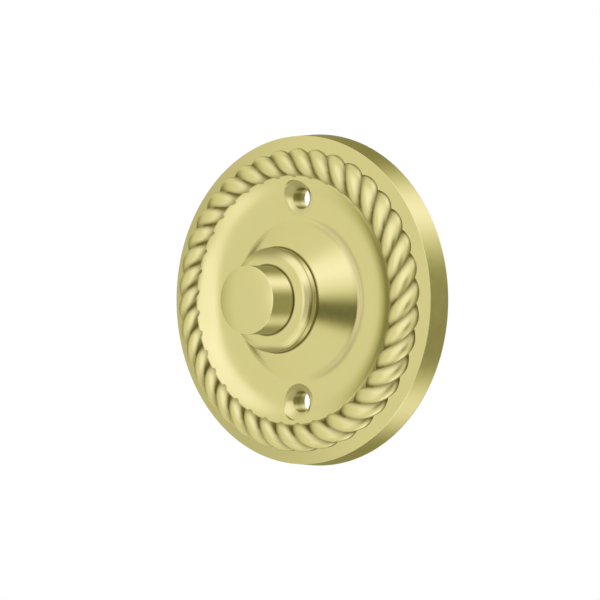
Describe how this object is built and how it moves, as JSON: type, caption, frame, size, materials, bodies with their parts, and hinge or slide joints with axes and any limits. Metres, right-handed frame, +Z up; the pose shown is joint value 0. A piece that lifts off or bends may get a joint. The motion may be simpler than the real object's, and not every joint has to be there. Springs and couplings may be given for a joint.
{
  "type": "doorbell push button",
  "caption": "Round rope-edged brass doorbell push: a sprung domed button in a turned collar closes a low-voltage contact behind the plate.",
  "frame": {"origin": "centre of the wall plane, on the button's axis", "axes": "+Y into the wall along the button's travel, +X right as seen from the front, +Z up"},
  "size_m": [0.06, 0.0285, 0.06],
  "materials": {
    "plate_brass": "satin brass, pale, with a fine cast and brushed surface",
    "turned_brass": "satin turned brass",
    "screw_brass": "plain machined brass",
    "steel": "zinc plated steel",
    "spring_steel": "bright spring wire",
    "moulding": "black thermoset moulding",
    "fibre": "red vulcanised fibre",
    "nylon": "natural nylon",
    "bronze": "rolled phosphor bronze",
    "silver": "silver contact"
  },
  "bodies": {
    "housing": {"rope_edge_plate": "plate_brass", "button_collar": "turned_brass", "collar_lock_washer": "steel", "collar_clamp_nut": "screw_brass", "button_return_spring": "spring_steel", "spring_seat_disc": "fibre", "switch_base": "moulding", "moving_contact_leaf": "bronze", "moving_contact": "silver", "fixed_contact_strip": "screw_brass", "fixed_contact": "silver", "terminal_insert_left": "screw_brass", "terminal_insert_right": "screw_brass", "terminal_washer_left": "screw_brass", "terminal_washer_right": "screw_brass", "terminal_screw_left": "screw_brass", "terminal_screw_right": "screw_brass"},
    "button": {"push_button": "turned_brass", "plunger_pin": "screw_brass", "plunger_tip": "nylon"}
  },
  "joints": [
    {"name": "button_press", "type": "slide", "parent": "housing", "child": "button", "axis": [0, 1, 0], "range_m": [0, 0.0022], "stiffness_N_per_m": 500, "springref_m": -0.0025, "deforming": ["button_return_spring", "moving_contact_leaf"]}
  ]
}
